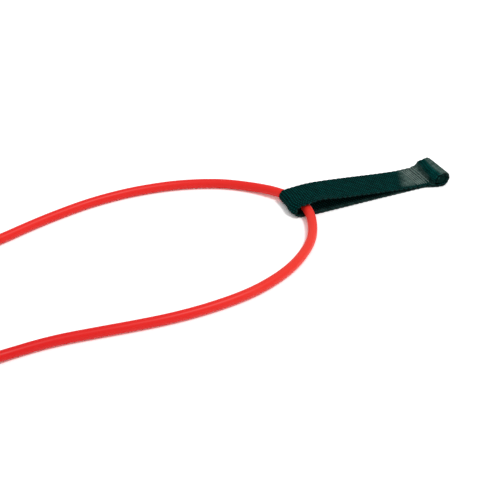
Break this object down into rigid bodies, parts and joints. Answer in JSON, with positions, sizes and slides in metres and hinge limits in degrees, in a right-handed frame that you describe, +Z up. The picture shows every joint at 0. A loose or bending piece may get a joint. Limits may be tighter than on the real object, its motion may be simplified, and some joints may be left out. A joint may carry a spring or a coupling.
{
  "type": "exercise resistance tube",
  "caption": "Elastic exercise tube with a foam grip handle on each end, threaded through a sewn webbing door anchor with a rolled stopper.",
  "frame": {"origin": "underside of the door anchor's strap, on the surface that the set lies on, below the place where the tube crosses the strap's centre line", "axes": "+X along the anchor strap from its fold to its rolled stopper, away from the handles; +Z up; +Y across the strap, towards handle a"},
  "size_m": [0.7249, 0.3082, 0.033],
  "materials": {
    "tube_rubber": "satin",
    "webbing": "woven, matt",
    "thread": "twisted thread",
    "foam": "closed-cell foam, matt",
    "hard_plastic": "moulded, fine grain",
    "nickel": "nickel plated"
  },
  "bodies": {
    "root": {"tube": "tube_rubber", "tube_plug_a": "hard_plastic", "tube_plug_b": "hard_plastic"},
    "door_anchor": {"anchor_strap": "webbing", "anchor_stopper_core": "foam", "anchor_stitching": "thread"},
    "handle_a": {"handle_strap_a": "webbing", "handle_stitching_a": "thread", "eyelet_a": "nickel", "eyelet_washer_a": "nickel"},
    "handle_b": {"handle_strap_b": "webbing", "handle_stitching_b": "thread", "eyelet_b": "nickel", "eyelet_washer_b": "nickel"},
    "grip_a": {"grip_core_a": "hard_plastic", "grip_foam_a": "foam", "end_cap_left_a": "hard_plastic", "end_cap_right_a": "hard_plastic"},
    "grip_b": {"grip_core_b": "hard_plastic", "grip_foam_b": "foam", "end_cap_left_b": "hard_plastic", "end_cap_right_b": "hard_plastic"}
  },
  "joints": [
    {"name": "anchor_swing", "type": "hinge", "parent": "root", "child": "door_anchor", "pos_m": [-0.0034, 0.0003, 0.0076], "axis": [0.3219, -0.9468, 0], "range_deg": [0, 30]},
    {"name": "handle_a_swivel", "type": "hinge", "parent": "root", "child": "handle_a", "pos_m": [-0.4052, 0.04, 0.0165], "axis": [1, 0, 0], "continuous": true},
    {"name": "grip_a_spin", "type": "hinge", "parent": "handle_a", "child": "grip_a", "pos_m": [-0.5102, 0.04, 0.0165], "axis": [0, 1, 0], "continuous": true},
    {"name": "handle_b_swivel", "type": "hinge", "parent": "root", "child": "handle_b", "pos_m": [-0.4352, -0.122, 0.0165], "axis": [1, 0, 0], "continuous": true},
    {"name": "grip_b_spin", "type": "hinge", "parent": "handle_b", "child": "grip_b", "pos_m": [-0.5402, -0.122, 0.0165], "axis": [0, 1, 0], "continuous": true}
  ]
}
